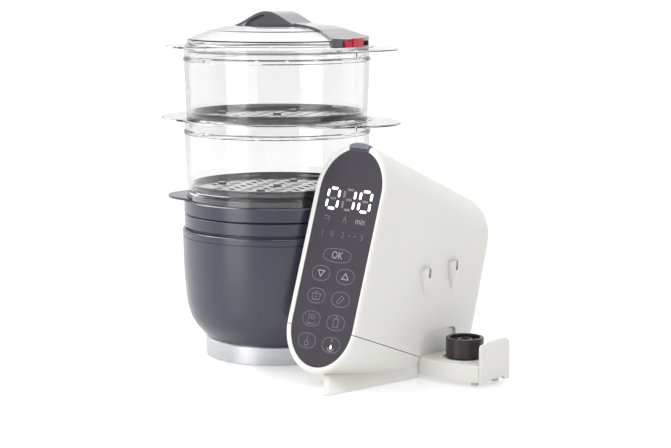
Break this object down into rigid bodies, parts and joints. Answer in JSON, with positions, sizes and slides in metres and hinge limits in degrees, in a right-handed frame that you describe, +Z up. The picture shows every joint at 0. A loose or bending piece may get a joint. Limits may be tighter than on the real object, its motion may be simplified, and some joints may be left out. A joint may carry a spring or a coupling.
{
  "type": "baby food maker",
  "caption": "Countertop baby food maker: clear stacked steamer tower on a dark heated bowl, joined to a white slanted control unit with a pull-out blender drive foot.",
  "frame": {"origin": "centre of the footprint's bounding box, on the table", "axes": "+Z up, +X towards the blender foot, -Y towards the control panel's front"},
  "size_m": [0.3824, 0.2312, 0.3444],
  "materials": {
    "white_shell": "satin off-white moulding",
    "anthracite": "satin blue-grey anthracite",
    "silver": "satin silver",
    "clear": "clear polycarbonate",
    "dark_tray": "satin dark grey",
    "panel": "smoked gloss overlay",
    "handle_grey": "satin grey",
    "button_grey": "satin grey",
    "red": "gloss red",
    "coupling_dark": "gloss brown-black",
    "rubber": "matt rubber",
    "seal": "translucent silicone",
    "steel": "bright steel",
    "well_steel": "drawn stainless steel",
    "cast_aluminium": "die-cast",
    "brass": "plain brass",
    "pcb": "solder-mask green",
    "black_plastic": "matt black",
    "light_plastic": "milky diffuser"
  },
  "bodies": {
    "base": {"foot_ring": "silver", "base_plate": "black_plastic", "tower_screws": "steel", "tower_feet": "rubber", "bowl_housing": "anthracite", "well_collar": "anthracite", "well_gasket": "seal", "water_well": "well_steel", "heater_plate": "cast_aluminium", "heating_element": "steel", "thermostat": "black_plastic", "thermal_fuse": "brass", "dock_bridge": "white_shell", "wire_harness": "black_plastic", "lower_shell": "white_shell", "upper_shell": "white_shell", "bottom_cover_front": "white_shell", "bottom_cover_rear": "white_shell", "unit_screws": "steel", "unit_feet": "rubber", "panel_overlay": "panel", "light_guide": "light_plastic", "display_module": "black_plastic", "panel_frame": "black_plastic", "control_board": "pcb", "key_sensors": "brass", "button_switch": "black_plastic", "button_spring": "steel", "power_board": "pcb", "transformer": "steel", "board_posts": "white_shell", "power_inlet": "black_plastic", "inlet_pins": "brass", "side_hooks": "white_shell", "foot_bay": "white_shell", "slide_rails": "steel", "bay_contacts": "brass"},
    "juice_tray": {"juice_tray": "anthracite", "juice_chimney": "anthracite"},
    "lower_basket": {"lower_basket": "clear"},
    "lower_tray": {"lower_tray": "dark_tray"},
    "upper_basket": {"upper_basket": "clear"},
    "upper_tray": {"upper_tray": "dark_tray"},
    "lid": {"lid_shell": "clear", "lid_handle": "handle_grey", "lid_seal": "seal"},
    "vent_slider": {"vent_slider": "red"},
    "power_button": {"power_button": "button_grey"},
    "blender_foot": {"foot_carriage": "white_shell", "foot_end_plate": "white_shell", "foot_cover": "white_shell", "foot_pads": "rubber", "motor_base": "cast_aluminium", "motor_stator": "steel", "motor_bearings": "steel", "shaft_seal": "rubber", "foot_contacts": "brass"},
    "drive": {"motor_rotor": "steel", "drive_shaft": "steel", "drive_coupling": "coupling_dark"}
  },
  "joints": [
    {"name": "juice_tray_lift", "type": "slide", "parent": "base", "child": "juice_tray", "axis": [0, 0, 1], "range_m": [0, 0.06]},
    {"name": "lower_basket_lift", "type": "slide", "parent": "juice_tray", "child": "lower_basket", "axis": [0, 0, 1], "range_m": [0, 0.06]},
    {"name": "lower_tray_lift", "type": "slide", "parent": "lower_basket", "child": "lower_tray", "axis": [0, 0, 1], "range_m": [0, 0.04]},
    {"name": "upper_basket_lift", "type": "slide", "parent": "lower_basket", "child": "upper_basket", "axis": [0, 0, 1], "range_m": [0, 0.06]},
    {"name": "upper_tray_lift", "type": "slide", "parent": "upper_basket", "child": "upper_tray", "axis": [0, 0, 1], "range_m": [0, 0.04]},
    {"name": "lid_lift", "type": "slide", "parent": "upper_basket", "child": "lid", "axis": [0, 0, 1], "range_m": [0, 0.08]},
    {"name": "vent_turn", "type": "hinge", "parent": "lid", "child": "vent_slider", "pos_m": [-0.06315, -0.00844, 0.314], "axis": [0, 0, 1], "range_deg": [0, 9.5]},
    {"name": "power_press", "type": "slide", "parent": "base", "child": "power_button", "axis": [0, -0.2924, -0.9563], "range_m": [0, 0.0018], "stiffness_N_per_m": 600, "springref_m": -0.0006, "deforming": ["button_spring"]},
    {"name": "foot_slide", "type": "slide", "parent": "base", "child": "blender_foot", "axis": [1, 0, 0], "range_m": [-0.066, 0]},
    {"name": "drive_spin", "type": "hinge", "parent": "blender_foot", "child": "drive", "pos_m": [0.15465, 0.02996, 0.03], "axis": [0, 0, 1], "continuous": true}
  ]
}
